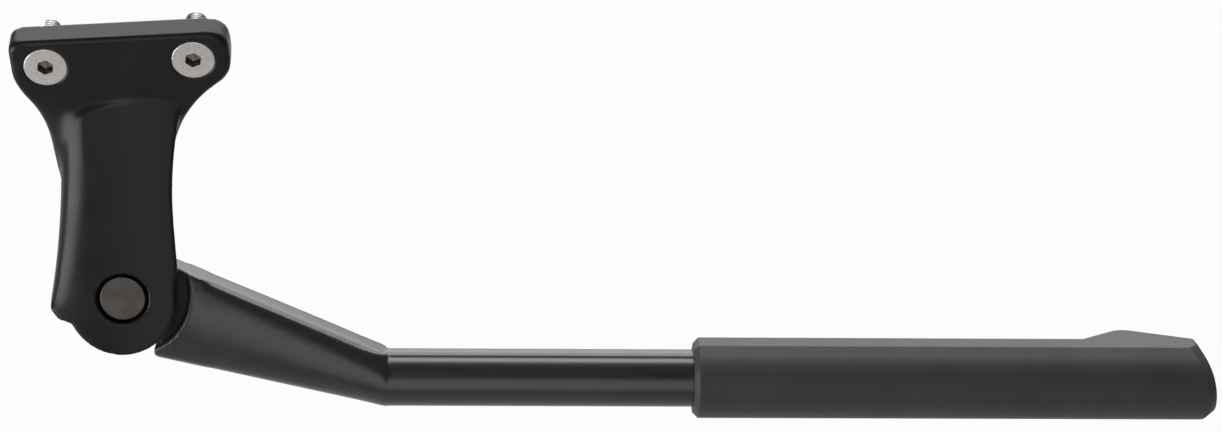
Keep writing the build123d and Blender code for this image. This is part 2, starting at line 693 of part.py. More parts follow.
def latch_lever():
    """The rocking lever: a tooth at one end, a raised thumb pad at the other."""
    tooth = ROD_RADIUS - NOTCH_DEPTH + TOOTH_CLEAR
    near = latch_at - TOOTH_WIDTH / 2
    far = latch_at + TOOTH_WIDTH / 2
    heel = latch_axis + THUMB_HEEL
    crest = lever_back + THUMB_RISE
    outline = polygon(
        (near, tooth),
        (far, tooth),
        (far, lever_face),
        (latch_axis + LATCH_PIN_DIA / 2, lever_face),
        (heel, thumb_under),
        (latch_end, thumb_under),
        (latch_end, crest),
        (heel, crest),
        (latch_axis - LATCH_PIN_DIA, lever_back),
        (near, lever_back),
    )
    body = on_back(outline, LEVER_HALF)
    pad = body.faces().sort_by(Axis.Z)[0]
    body = fillet(pad.edges(), THUMB_EDGE)
    return body - in_latch(disc(LATCH_PIN_DIA / 2 + RUNNING_FIT, -ROD_RADIUS, ROD_RADIUS))


def latch_pin():
    """The pin that the latch lever rocks on."""
    return in_latch(disc(LATCH_PIN_DIA / 2, -LATCH_PIN_LENGTH / 2, LATCH_PIN_LENGTH / 2))


def latch_spring():
    """The arched leaf under the thumb pad."""
    low = pocket_floor
    high = thumb_under - LATCH_SPRING_THICK - LATCH_SPRING_GAP
    start = latch_axis + THUMB_HEEL
    middle = (start + latch_end) / 2
    thick = LATCH_SPRING_THICK
    outline = [
        ThreePointArc((start, low), (middle, high), (latch_end, low)),
        Line((latch_end, low), (latch_end, low + thick)),
        ThreePointArc((latch_end, low + thick), (middle, high + thick), (start, low + thick)),
        Line((start, low + thick), (start, low)),
    ]
    return on_back(make_face(outline), LATCH_SPRING_HALF)


def save(name, shape):
    """Write one piece, or a group of like pieces, under its node's name."""
    solids = shape if isinstance(shape, list) else shape.solids()
    export_step(Compound(children=solids), f"parts/{name}.step")


os.makedirs("parts", exist_ok=True)
save("mounting_head", mounting_head())
save("mounting_screws", [piece.solid() for piece in mounting_screws()])
save("pivot_pin", in_row(pivot_pin(), pivot_frame))
save("pivot_washer", in_row(pivot_washer(), pivot_frame))
save("retaining_ring", in_row(retaining_ring(), pivot_frame))
save("front_thrust_washer", in_row(thrust_washer(1), pivot_frame))
save("rear_thrust_washer", in_row(thrust_washer(-1), pivot_frame))
save("pivot_bush", in_row(pivot_bush(), pivot_frame))
save("detent_plunger", in_row(detent_plunger(), pivot_frame))
save("detent_spring", in_row(detent_spring(), pivot_frame))
save("leg", in_row(leg(), leg_frame))
save("stop_pin", in_row(stop_pin(), leg_frame))
save("foot_sleeve", in_row(foot_sleeve(), leg_frame))
save("latch_lever", in_row(latch_lever(), leg_frame))
save("latch_pin", in_row(latch_pin(), leg_frame))
save("latch_spring", in_row(latch_spring(), leg_frame))
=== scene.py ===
"""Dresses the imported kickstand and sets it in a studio.

The casting and the leg get soft edges, the screws and the springs are shaped by formulas, and every
piece gets its finish."""

import json
import math

import bmesh
import bpy
import numpy as np
from bpy.props import FloatProperty, FloatVectorProperty, IntProperty, PointerProperty
from mathutils import Matrix, Vector


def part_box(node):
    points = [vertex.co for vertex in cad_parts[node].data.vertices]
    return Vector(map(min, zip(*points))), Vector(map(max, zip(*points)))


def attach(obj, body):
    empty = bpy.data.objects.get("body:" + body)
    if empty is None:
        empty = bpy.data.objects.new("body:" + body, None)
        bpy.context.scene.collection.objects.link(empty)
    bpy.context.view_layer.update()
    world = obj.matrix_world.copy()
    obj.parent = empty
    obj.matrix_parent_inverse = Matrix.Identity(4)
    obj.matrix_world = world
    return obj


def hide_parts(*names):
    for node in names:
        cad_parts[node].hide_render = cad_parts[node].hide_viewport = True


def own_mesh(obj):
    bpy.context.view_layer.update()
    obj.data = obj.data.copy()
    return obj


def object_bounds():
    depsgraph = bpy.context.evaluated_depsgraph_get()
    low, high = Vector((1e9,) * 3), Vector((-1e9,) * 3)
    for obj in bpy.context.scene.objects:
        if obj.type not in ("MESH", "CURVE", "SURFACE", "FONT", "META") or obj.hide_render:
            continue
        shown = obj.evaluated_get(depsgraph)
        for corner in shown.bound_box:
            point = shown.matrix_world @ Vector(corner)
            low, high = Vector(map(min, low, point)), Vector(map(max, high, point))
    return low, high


bl_info = {
    "name": "Kickstand dresser",
    "version": (1, 0, 0),
    "blender": (4, 5, 0),
    "location": "3D View > Sidebar > Kickstand",
    "description": "Gives a packed bicycle kickstand its finishes, its fine pieces and a studio",
    "category": "Object",
}

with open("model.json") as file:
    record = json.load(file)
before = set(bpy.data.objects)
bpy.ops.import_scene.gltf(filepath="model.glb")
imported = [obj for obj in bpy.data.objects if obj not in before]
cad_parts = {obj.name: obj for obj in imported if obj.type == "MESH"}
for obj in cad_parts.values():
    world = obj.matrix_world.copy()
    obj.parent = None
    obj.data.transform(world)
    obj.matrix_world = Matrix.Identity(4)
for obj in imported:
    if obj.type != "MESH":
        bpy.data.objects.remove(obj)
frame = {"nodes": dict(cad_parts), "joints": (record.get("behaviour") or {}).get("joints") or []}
cad_box = [list(corner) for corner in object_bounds()]

MM = 0.001

# Sockets of a mix node, by what it mixes: first input, second input and result.
MIX_SOCKETS = {"FLOAT": (2, 3, 0), "RGBA": (6, 7, 2)}

# Painted shade about the pivot: a darker, duller colour on the leg's hub and in the gap beside the lug,
# where shadow falls. It fades between two distances from the pivot's axis, and it is left off the root's
# top, which slopes down along the leg and starts between two heights over the pivot.
PIVOT_SHADE_EDGE = (18.2 * MM, 19.2 * MM)
PIVOT_SHADE_COLOUR = (0.0025, 0.0023, 0.0022)
PIVOT_SHADE_ROUGHNESS = 0.75
TOP_EDGE = (12.0 * MM, 12.3 * MM)
TOP_SLOPE = 0.44

# How far the paint pales on the casting's edges, and how dark the painted shade in the screws' sockets
# is.
EDGE_WEAR = 0.55
SOCKET_PAINTED_SHADE = 0.36

# Smooth steps that bound the eased skin of the leg, each from its start to its end: the hub's by the
# distance from the pivot's axis, the root's along the leg and the root's front along the pivot.
HUB_EDGE = (12.8 * MM, 14.5 * MM)
ROOT_START = (21 * MM, 25 * MM)
ROOT_END = (64 * MM, 72 * MM)
ROOT_FRONT = (1 * MM, 3 * MM)
ROOT_BACK_SHARE = 0.25

# The same for the casting's bevel and ledge: heights over the pivot, distances to its left, and the
# column's front along the pivot.
BEVEL_START = (-3 * MM, 1 * MM)
BEVEL_END = (52 * MM, 60 * MM)
BEVEL_LEFT = (6 * MM, 10 * MM)
LEDGE_START = (46 * MM, 50 * MM)
LEDGE_END = (58 * MM, 62 * MM)
LEDGE_LEFT = (3 * MM, 8 * MM)
LEDGE_SHARE = 0.06
COLUMN_FRONT = (2 * MM, 4 * MM)

# Points round a screw, rows of its socket, rows in a turn of its thread and the width of its end caps.
SCREW_COLUMNS = 72
SOCKET_ROWS = 4
THREAD_ROWS = 22
CAP_SHARE = 0.02

# Angles over which two faces of a formed skin meet in a sharp edge.
SCREW_CREASE = math.radians(32)
SPRING_CREASE = math.radians(40)

# Soft panels: name, what it lights, its place from there in metres, its size and its brightness.
PANELS = (
    ("top_panel", "middle", (0, 0.66, 1.0), (1.5, 0.5), "top_light"),
    ("back_panel", "middle", (0, 1.5, 0.52), (2.0, 1.5), "back_light"),
    ("side_panel", "head", (-0.395, -0.25, 0.0), (0.42, 0.24), "side_light"),
    ("front_panel", "middle", (0, -1.6, 0.34), (0.7, 1.25), "front_light"),
    ("crown_panel", "head", (-0.075, -0.37, 0.335), (0.1, 0.2), "crown_light"),
)
FLOOR_REACH = 9
FLOOR_CELLS = 12
SENSOR_WIDTH = 36


class FinishSettings(bpy.types.PropertyGroup):
    """Colours, grain and soft edges of the finishes."""

    casting_colour: FloatVectorProperty(
        name="Casting colour",
        description="Satin black paint on the mounting head",
        subtype="COLOR",
        default=(0.0065, 0.0065, 0.0067),
    )
    leg_colour: FloatVectorProperty(
        name="Leg colour",
        description="Warm black anodised leg",
        subtype="COLOR",
        default=(0.012, 0.0102, 0.0096),
    )
    foot_colour: FloatVectorProperty(
        name="Foot colour",
        description="Charcoal moulded plastic of the foot and its latch",
        subtype="COLOR",
        default=(0.038, 0.038, 0.039),
    )
    stainless_colour: FloatVectorProperty(
        name="Stainless colour",
        description="Turned stainless steel of the screws",
        subtype="COLOR",
        default=(0.60, 0.575, 0.55),
    )
    dark_steel_colour: FloatVectorProperty(
        name="Dark steel colour",
        description="Blackened steel of the pivot pin and small pins",
        subtype="COLOR",
        default=(0.08, 0.073, 0.069),
    )
    spring_colour: FloatVectorProperty(
        name="Spring colour",
        description="Drawn spring wire and strip",
        subtype="COLOR",
        default=(0.42, 0.42, 0.43),
    )
    bronze_colour: FloatVectorProperty(
        name="Bronze colour",
        description="Sintered bronze of the bush and thrust washers",
        subtype="COLOR",
        default=(0.46, 0.29, 0.13),
    )
    edge_softness: FloatProperty(
        name="Edge softness",
        description="Radius over which moulded and painted edges catch the light",
        unit="LENGTH",
        default=0.7 * MM,
        min=0.0,
    )
    casting_mesh: FloatProperty(
        name="Casting mesh",
        description="Spacing of the grid on which the casting's soft skin is rebuilt",
        unit="LENGTH",
        default=0.5 * MM,
        min=0.2 * MM,
    )
    casting_ease: IntProperty(
        name="Casting ease", description="How often the casting's edges are eased", default=6, min=0
    )
    shoulder_round: IntProperty(
        name="Shoulder round",
        description="How often the column's left and top edges are eased further",
        default=120,
        min=0,
    )
    leg_mesh: FloatProperty(
        name="Leg mesh",
        description="Spacing of the grid on which the leg's soft skin is rebuilt",
        unit="LENGTH",
        default=0.5 * MM,
        min=0.2 * MM,
    )
    leg_ease: IntProperty(
        name="Leg ease", description="How often the leg's edges are eased", default=5, min=0
    )
    root_round: IntProperty(
        name="Root round",
        description="How often the skin of the leg's root is eased further",
        default=60,
        min=0,
    )
    casting_grain: FloatProperty(
        name="Casting grain",
        description="Spacing of the fine dimples under the paint",
        unit="LENGTH",
        default=0.45 * MM,
        min=0.05 * MM,
    )
    foot_grain: FloatProperty(
        name="Foot grain",
        description="Spacing of the moulded leather-fine texture on the foot",
        unit="LENGTH",
        default=0.38 * MM,
        min=0.05 * MM,
    )


class ScrewSettings(bpy.types.PropertyGroup):
    """Sizes of the two countersunk screws."""

    pitch: FloatProperty(
        name="Hole pitch", description="Distance between the two screws", unit="LENGTH", default=40 * MM
    )
    thread: FloatProperty(
        name="Thread diameter", description="Outside of the thread", unit="LENGTH", default=6 * MM
    )
    lead: FloatProperty(
        name="Thread pitch", description="Advance of the thread per turn", unit="LENGTH", default=1 * MM
    )
    depth: FloatProperty(
        name="Thread depth",
        description="Height of the thread's crest over its root",
        unit="LENGTH",
        default=0.6 * MM,
    )
    neck: FloatProperty(
        name="Neck diameter", description="Plain neck under the head", unit="LENGTH", default=5.35 * MM
    )
    head: FloatProperty(
        name="Head diameter",
        description="Outside of the countersunk head",
        unit="LENGTH",
        default=11.8 * MM,
    )
    flats: FloatProperty(
        name="Socket flats",
        description="Across the flats of the hexagon socket",
        unit="LENGTH",
        default=4 * MM,
    )
    socket: FloatProperty(
        name="Socket depth", description="Depth of the hexagon socket", unit="LENGTH", default=3.0 * MM
    )
    socket_turn: FloatProperty(
        name="Socket turn",
        description="How far each socket is turned",
        subtype="ANGLE",
        default=math.radians(12),
    )


class SpringSettings(bpy.types.PropertyGroup):
    """Sizes of the coil spring over the plunger and of the leaf under the latch."""

    wire: FloatProperty(
        name="Wire", description="Diameter of the spring wire", unit="LENGTH", default=1.1 * MM
    )
    coil: FloatProperty(
        name="Coil", description="Outside diameter of the coil", unit="LENGTH", default=6.9 * MM
    )
    turns: IntProperty(name="Turns", description="Whole turns of the coil", default=5, min=2)
    leaf: FloatProperty(
        name="Leaf", description="Thickness of the leaf spring", unit="LENGTH", default=0.4 * MM
    )


class StageSettings(bpy.types.PropertyGroup):
    """The camera, the floor and the soft panels."""

    elevation: FloatProperty(
        name="Elevation",
        description="How far the camera looks down",
        subtype="ANGLE",
        default=math.radians(37.5),
    )
    azimuth: FloatProperty(
        name="Azimuth",
        description="How far the camera stands to the right",
        subtype="ANGLE",
        default=math.radians(-2),
    )
    roll: FloatProperty(
        name="Roll", description="How far the camera leans", subtype="ANGLE", default=math.radians(1.733)
    )
    distance: FloatProperty(
        name="Distance", description="From the camera to its target", unit="LENGTH", default=0.9
    )
    target: FloatVectorProperty(
        name="Target",
        description="Middle of the picture",
        subtype="TRANSLATION",
        default=(0.13184, -0.015, -0.05501),
    )
    lens: FloatProperty(
        name="Lens", description="Focal length in millimetres on a 36 mm sensor", default=94.386, min=1
    )
    floor_gap: FloatProperty(
        name="Floor gap",
        description="Clear height under the folded stand, enough for the leg to swing down",
        unit="LENGTH",
        default=0.28,
    )
    floor_colour: FloatVectorProperty(
        name="Floor colour", description="Plain pale floor", subtype="COLOR", default=(0.52, 0.52, 0.52)
    )
    floor_white: FloatProperty(
        name="Floor white", description="Share of white that the camera sees in the floor", default=0.94
    )
    floor_mirrored: FloatProperty(
        name="Floor mirrored",
        description="Share of white that glossy pieces mirror from the floor",
        default=0.16,
    )
    top_light: FloatProperty(
        name="Top panel", description="Brightness of the panel above and behind", default=5.6, min=0
    )
    back_light: FloatProperty(
        name="Back panel", description="Brightness of the tall panel behind", default=2.3, min=0
    )
    side_light: FloatProperty(
        name="Side panel", description="Brightness of the panel on the left", default=6.0, min=0
    )
    front_light: FloatProperty(
        name="Front panel", description="Brightness of the pale panel in front", default=1.22, min=0
    )
    crown_light: FloatProperty(
        name="Crown panel",
        description="Brightness of the small panel in front of and over the mounting head",
        default=4.0,
        min=0,
    )
    room_light: FloatProperty(
        name="Room light", description="Brightness of the room around", default=0.15, min=0
    )


def joint(name):
    """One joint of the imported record."""
    for entry in frame["joints"]:
        if entry["name"] == name:
            return entry
    raise ValueError(f"the record has no joint named {name}")


def leg_axes():
    """The turn from the leg's own axes, along its rod and along the pivot, to the part's axes."""
    along = Vector(joint("foot_slide")["axis"]).normalized()
    back = Vector(joint("leg_swing")["axis"]).normalized()
    return Matrix((along, back, along.cross(back))).transposed().to_4x4()


def node_points(name, axes):
    """The corner points of a CAD node, measured along the given axes."""
    source = frame["nodes"][name].data
    flat = np.zeros(len(source.vertices) * 3, np.float32)
    source.vertices.foreach_get("co", flat)
    return flat.reshape(-1, 3) @ np.array(axes.to_3x3())


def grid_faces(rows, columns):
    """Four-sided faces of a grid that is closed round its columns, as index rows."""
    row, column = np.meshgrid(np.arange(rows - 1), np.arange(columns), indexing="ij")
    following = (column + 1) % columns
    corners = [row * columns + column, row * columns + following]
    corners += [(row + 1) * columns + following, (row + 1) * columns + column]
    return np.stack(corners, axis=-1).reshape(-1, 4)


def tube_mesh(name, rings, crease):
    """A closed skin over rings of points, shape (rows, columns, 3), with a flat cap on each end ring.

    Faces turn sharp where two of them meet at more than the crease angle. The UV map runs once
    round the columns and once along the rows."""
    rows, columns = rings.shape[:2]
    faces = grid_faces(rows, columns).tolist()
    faces.append(list(range(columns))[::-1])
    faces.append(list(range((rows - 1) * columns, rows * columns)))
    mesh = bpy.data.meshes.new(name)
    mesh.from_pydata(rings.reshape(-1, 3).tolist(), [], faces)
    mesh.validate()
    loops = np.zeros(len(mesh.loops), np.int32)
    mesh.loops.foreach_get("vertex_index", loops)
    across = (loops % columns) / columns
    along = (loops // columns) / (rows - 1)
    layer = mesh.uv_layers.new(name="Skin")
    layer.data.foreach_set("uv", np.stack([across, along], axis=-1).astype(np.float32).ravel())
    mesh.polygons.foreach_set("use_smooth", np.ones(len(mesh.polygons), bool))
    mesh.set_sharp_from_angle(angle=crease)
    mesh.update()
    return mesh


def join_meshes(name, parts):
    """Several skins as one mesh, with their UV maps, attributes and sharp edges kept."""
    made = []
    for part in parts:
        piece = bpy.data.objects.new(name, part)
        bpy.context.scene.collection.objects.link(piece)
        made.append(piece)
    with bpy.context.temp_override(active_object=made[0], selected_editable_objects=made):
        bpy.ops.object.join()
    mesh = made[0].data
    bpy.data.objects.remove(made[0])
    return mesh


def add_piece(name, mesh, material, body, replaced):
    """Puts a new mesh in the scene with its finish, riding on a body and standing for a CAD node."""
    mesh.materials.append(material)
    piece = bpy.data.objects.new(name, mesh)
    bpy.context.scene.collection.objects.link(piece)
    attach(piece, body)
    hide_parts(replaced)
    return piece


def paint(names, material):
    """Gives CAD nodes one finish."""
    for name in names:
        slots = frame["nodes"][name].material_slots
        if not slots:
            frame["nodes"][name].data.materials.append(material)
        for entry in slots:
            entry.material = material


def softened_copy(name, source, spacing, passes, axes):
    """A copy of a solid with eased edges and no finish.

    The copy's loose faces are joined, its skin is rebuilt on an even grid that lies along the given
    axes, and each point is then moved halfway to the mean of its neighbours a number of times, which
    rounds edges and corners."""
    joined = bmesh.new()
    joined.from_mesh(source.data)
    bmesh.ops.remove_doubles(joined, verts=joined.verts, dist=0.001 * MM)
    rough = bpy.data.meshes.new(name)
    joined.to_mesh(rough)
    joined.free()
    rough.transform(axes.inverted())
    blank = bpy.data.objects.new(name, rough)
    bpy.context.scene.collection.objects.link(blank)
    grid = blank.modifiers.new("grid", "REMESH")
    grid.mode = "VOXEL"
    grid.voxel_size = spacing
    ease = blank.modifiers.new("ease", "SMOOTH")
    ease.factor = 0.5
    ease.iterations = passes
    graph = bpy.context.evaluated_depsgraph_get()
    mesh = bpy.data.meshes.new_from_object(blank.evaluated_get(graph))
    mesh.name = name
    mesh.transform(axes)
    mesh.polygons.foreach_set("use_smooth", np.ones(len(mesh.polygons), bool))
    mesh.materials.clear()
    bpy.data.objects.remove(blank)
    bpy.data.meshes.remove(rough)
    return mesh


def round_over(mesh, share, passes, box):
    """Rounds part of a skin.

    Each point moves towards the mean of its neighbours by half its share, again and again. At the end
    no point stands outside the box of the solid that the skin was made from."""
    count = len(mesh.vertices)
    flat = np.zeros(count * 3, np.float32)
    mesh.vertices.foreach_get("co", flat)
    points = flat.reshape(-1, 3).astype(np.float64)
    ends = np.zeros(len(mesh.edges) * 2, np.int32)
    mesh.edges.foreach_get("vertices", ends)
    first, second = ends.reshape(-1, 2).T
    valence = np.bincount(ends, minlength=count)[:, None]
    pull = (0.5 * share(points))[:, None]
    for _ in range(passes):
        total = np.empty_like(points)
        for axis in range(3):
            total[:, axis] = np.bincount(first, points[second, axis], count)
            total[:, axis] += np.bincount(second, points[first, axis], count)
        points += pull * (total / valence - points)
    points = np.clip(points, np.array(box[0]), np.array(box[1]))
    mesh.vertices.foreach_set("co", points.astype(np.float32).ravel())
    mesh.update()


def ramp(values, start, end):
    """Nought before start, one after end and a smooth step between."""
    share = np.clip((values - start) / (end - start), 0, 1)
    return share * share * (3 - 2 * share)


def band(values, rise, fall):
    """One between two smooth steps, the first up and the second down."""
    return ramp(values, *rise) * (1 - ramp(values, *fall))


def from_pivot(points):
    """Where points stand from the pivot, and how far each stands forwards along the pivot's axis."""
    swing = joint("leg_swing")
    offset = points - np.array(swing["pos_m"])
    return offset, -(offset @ np.array(swing["axis"]))


def clear_of_hub(points):
    """One outside the leg's hub and nought on it, so that the hub keeps its fits.

    A point is placed by its distance from the pivot's axis."""
    offset, _ = from_pivot(points)
    return ramp(np.linalg.norm(np.cross(offset, joint("leg_swing")["axis"]), axis=1), *HUB_EDGE)


def root_shoulder(points):
    """One along the front half of the leg's root, less on its back half, nought on its hub and its rod.

    A point is placed by its distance from the pivot along the leg and by how far it stands in front
    of the leg's middle, along the pivot."""
    offset, forward = from_pivot(points)
    root = band(offset @ np.array(joint("foot_slide")["axis"]), ROOT_START, ROOT_END)
    return root * (ROOT_BACK_SHARE + (1 - ROOT_BACK_SHARE) * ramp(forward, *ROOT_FRONT))


def casting_shoulders(points):
    """One along the column's left front edge, a little along its curved top edge, nought elsewhere.

    A point is placed by its distances from the pivot: to the left, upwards, and forwards along the
    pivot."""
    offset, forward = from_pivot(points)
    left = -offset[:, 0]
    height = offset @ np.cross([1, 0, 0], joint("leg_swing")["axis"])
    bevel = band(height, BEVEL_START, BEVEL_END) * ramp(left, *BEVEL_LEFT)
    ledge = band(height, LEDGE_START, LEDGE_END) * (1 - ramp(left, *LEDGE_LEFT))
    return np.maximum(bevel, LEDGE_SHARE * ledge) * ramp(forward, *COLUMN_FRONT)


def hexagon(angle, flats):
    """Distance from a hexagon's middle to its side.

    It is half the flats over the cosine of the angle to the nearest flat's middle."""
    sixth = math.pi / 3
    return flats / 2 / np.cos(np.mod(angle + sixth / 2, sixth) - sixth / 2)


def thread_height(phase):
    """Height of a 60 degree thread over its root, nought to one, for a phase along one lead.

    A crest an eighth of the lead wide, two straight flanks and a root a quarter wide."""
    half_crest, flank_end = 1 / 16, 3 / 8
    from_crest = np.abs(np.mod(phase + 0.5, 1) - 0.5)
    return np.clip((flank_end - from_crest) / (flank_end - half_crest), 0, 1)


def screw_rings(settings, centre, face, tip):
    """Rings of one screw: a turned profile with a hexagon in the socket and a helix on the shank.

    Ring radius is the profile's radius, or the hexagon's at that angle, or the root plus the thread's
    height at the phase of depth over lead less angle over a full turn. The socket's rows come first."""
    angle = np.linspace(0, 2 * math.pi, SCREW_COLUMNS, endpoint=False)
    six = hexagon(angle + settings.socket_turn, settings.flats)
    circle = np.ones(SCREW_COLUMNS)
    head, neck, crest = settings.head / 2, settings.neck / 2, settings.thread / 2
    floor = face + settings.socket
    drill, fillet, chamfer = 0.3 * MM, 0.1 * MM, 0.12 * MM
    opened = six + 0.08 * MM
    mouth = settings.flats * 0.66
    rim, rim_inset = 0.2 * MM, 0.25 * MM
    rows = [
        (CAP_SHARE * six, floor + drill),
        (0.93 * six, floor),
        (six, floor - fillet),
        (six, face + chamfer),
        (opened, face),
    ]
    for share in np.linspace(0.3, 1, 4):
        rows.append(((1 - share) * opened + share * mouth * circle, face))
    for radius in np.linspace(mouth + 0.4 * MM, head - 0.45 * MM, 5):
        rows.append((radius * circle, face))
    for turn in np.linspace(0, math.pi / 2, 5):
        radius = head - rim_inset + rim * math.sin(turn)
        rows.append((radius * circle, face + 0.02 * MM + rim * (1 - math.cos(turn))))
    cone_end = face + head - neck
    rows.append(((head - 0.1 * MM) * circle, face + 0.3 * MM))
    rows.append((neck * circle, cone_end))
    rows.append((neck * circle, cone_end + 0.2 * MM))
    start, run_out, blunt = -0.6 * MM, 0.8 * settings.lead, 0.7 * MM
    for depth in np.linspace(start, tip, int((tip - start) / settings.lead * THREAD_ROWS)):
        phase = depth / settings.lead - angle / (2 * math.pi)
        fade = np.clip((depth - start) / run_out, 0, 1)
        root = crest - settings.depth + (neck - crest + settings.depth) * (1 - fade)
        radius = root + fade * (crest - root) * thread_height(phase)
        rows.append((np.minimum(radius, crest - blunt + (tip - depth)), depth))
    rows.append((CAP_SHARE * crest * circle, tip))
    radii = np.array([radius for radius, depth in rows])
    depths = np.array([depth for radius, depth in rows])[:, None] * circle
    return np.stack([centre + radii * np.cos(angle), depths, radii * np.sin(angle)], axis=-1)


def coil_rings(settings, foot, axis, length):
    """Rings of round wire along a coil whose pitch closes at both ends.

    The wire's middle goes round at the coil's mean radius. Its height is a slight steady rise plus a
    steep one that leaves out part of a turn at each end, so that the end turns lie nearly flat."""
    steps, sides = 60 * settings.turns, 16
    steady, closed = 0.12, 0.8 / settings.turns
    share = np.linspace(0, 1, steps + 1)
    angle = share * settings.turns * 2 * math.pi
    steep = np.clip((share - closed / 2) / (1 - closed), 0, 1)
    height = settings.wire / 2 + (length - settings.wire) * (steady * share + (1 - steady) * steep)
    mean = (settings.coil - settings.wire) / 2
    side = axis.orthogonal().normalized()
    basis = np.array([side, axis.cross(side), axis])
    path = np.stack([mean * np.cos(angle), mean * np.sin(angle), height], axis=-1)
    outward = np.stack([np.cos(angle), np.sin(angle), np.zeros_like(angle)], axis=-1)
    ahead = np.gradient(path, axis=0)
    ahead /= np.linalg.norm(ahead, axis=1, keepdims=True)
    upward = np.cross(ahead, outward)
    turn = np.linspace(0, 2 * math.pi, sides, endpoint=False)[None, :, None]
    ring = np.cos(turn) * outward[:, None] + np.sin(turn) * upward[:, None]
    local = path[:, None] + settings.wire / 2 * ring
    return np.array(foot) + local @ basis


def leaf_rings(low, high, thick):
    """Rings of an arched strip between two corners: length, depth to the back and width.

    The strip's depth is a parabola of its length, nought at both ends and the full rise in the middle,
    and each ring is a rectangle across it."""
    share = np.linspace(0, 1, 41)
    depth = low[1] + (high[1] - low[1] - thick) * 4 * share * (1 - share)
    length = low[0] + (high[0] - low[0]) * share
    rows = [
        np.stack([length, depth + lift, np.full_like(share, side)], axis=-1)
        for lift, side in ((0, low[2]), (0, high[2]), (thick, high[2]), (thick, low[2]))
    ]
    return np.stack(rows, axis=1)


def new_finish(name):
    """An empty node material and its tree."""
    material = bpy.data.materials.new(name)
    material.use_nodes = True
    return material, material.node_tree


def dress(material, colour, roughness, normal, **constants):
    """Links patterns to a finish's principled shader; keywords set its other sockets to constants."""
    tree = material.node_tree
    shader = tree.nodes["Principled BSDF"]
    for name, source in (("Base Color", colour), ("Roughness", roughness), ("Normal", normal)):
        tree.links.new(source, shader.inputs[name])
    for name, value in constants.items():
        shader.inputs[name.replace("_", " ")].default_value = value
    return material


def node(tree, kind, **values):
    """One shader node; keywords with a capital set sockets, the others set properties."""
    made = tree.nodes.new(kind)
    for key, value in values.items():
        if key[0].isupper():
            made.inputs[key.replace("_", " ")].default_value = value
        else:
            setattr(made, key, value)
    return made


def feed(tree, socket, source):
    """Links a socket to another node's output, or sets it to a constant."""
    if isinstance(source, bpy.types.NodeSocket):
        tree.links.new(source, socket)
    else:
        socket.default_value = source


def worked(tree, kind, operation, *sources):
    """A node that works on its first inputs, each a constant or another node's output."""
    made = node(tree, kind, operation=operation)
    for socket, source in zip(made.inputs, sources):
        feed(tree, socket, source)
    return made


def number(tree, operation, *sources):
    """A number worked out from others."""
    return worked(tree, "ShaderNodeMath", operation, *sources).outputs["Value"]


def vector(tree, operation, *sources):
    """A vector worked out from others."""
    return worked(tree, "ShaderNodeVectorMath", operation, *sources).outputs["Vector"]


def measure(tree, operation, *sources):
    """A number worked out from vectors."""
    return worked(tree, "ShaderNodeVectorMath", operation, *sources).outputs["Value"]


def blend(tree, kind, share, first, second):
    """A mix of two colours or two numbers by a share, each a constant or another node's output."""
    made = node(tree, "ShaderNodeMix", data_type=kind)
    low, high, result = MIX_SOCKETS[kind]
    for place, source in ((0, share), (low, first), (high, second)):
        feed(tree, made.inputs[place], source)
    return made.outputs[result]


def object_place(tree, stretch=(1, 1, 1), turn=(0, 0, 0)):
    """Object coordinates, stretched and turned for a pattern."""
    place = node(tree, "ShaderNodeTexCoord")
    mapping = node(tree, "ShaderNodeMapping", Scale=stretch, Rotation=turn)
    tree.links.new(place.outputs["Object"], mapping.inputs["Vector"])
    return mapping.outputs["Vector"]


def noise(tree, place, scale, detail=3.0, roughness=0.5):
    """A noise pattern over places."""
    made = node(tree, "ShaderNodeTexNoise", Scale=scale, Detail=detail, Roughness=roughness)
    tree.links.new(place, made.inputs["Vector"])
    return made.outputs["Fac"]


def spread(tree, value, low, high, start=0.35, end=0.65):
    """Maps a pattern onto a range."""
    made = node(tree, "ShaderNodeMapRange", From_Min=start, From_Max=end, To_Min=low, To_Max=high)
    tree.links.new(value, made.inputs["Value"])
    return made.outputs["Result"]


def tint(tree, value, colour, light):
    """A colour that varies with a pattern, up to a lighter shade of itself."""
    pale = tuple(min(1.0, part * light) for part in colour)
    return blend(tree, "RGBA", value, (*colour, 1), (*pale, 1))


def clouded(tree, cloud, colour, light):
    """A colour that is lighter where a cloudy pattern is high."""
    return tint(tree, spread(tree, cloud, 0, 1), colour, light)


def soft_relief(tree, height, depth, softness=0.0):
    """A bump of a given depth, laid over edges that are rounded for the light by any softness."""
    bump = node(tree, "ShaderNodeBump", Strength=1.0, Distance=depth)
    tree.links.new(height, bump.inputs["Height"])
    if softness > 0:
        edge = node(tree, "ShaderNodeBevel", samples=12, Radius=softness)
        tree.links.new(edge.outputs["Normal"], bump.inputs["Normal"])
    return bump.outputs["Normal"]


def edge_mask(tree, softness):
    """One along edges and nought on plain faces, from how far rounding turns the normal."""
    edge = node(tree, "ShaderNodeBevel", samples=8, Radius=softness)
    plain = node(tree, "ShaderNodeNewGeometry")
    match = measure(tree, "DOT_PRODUCT", edge.outputs["Normal"], plain.outputs["Normal"])
    return spread(tree, match, 1.0, 0.0, start=0.90, end=0.99)


def unshaded_share(tree, along):
    """Nought where painted shade darkens the leg about its pivot, one further out and on the root's
    sloping top.

    A place's distance from the pivot's axis is the length of its offset crossed with the axis, and its
    height is the part of its offset along the upright of the sloping top."""
    swing = joint("leg_swing")
    offset = vector(tree, "SUBTRACT", object_place(tree), swing["pos_m"])
    distance = measure(tree, "LENGTH", vector(tree, "CROSS_PRODUCT", offset, swing["axis"]))
    upright = (leg_axes().to_3x3().col[2] + TOP_SLOPE * along).normalized()
    height = measure(tree, "DOT_PRODUCT", offset, upright)
    outside = spread(tree, distance, 0.0, 1.0, *PIVOT_SHADE_EDGE)
    return number(tree, "MAXIMUM", outside, spread(tree, height, 0.0, 1.0, *TOP_EDGE))


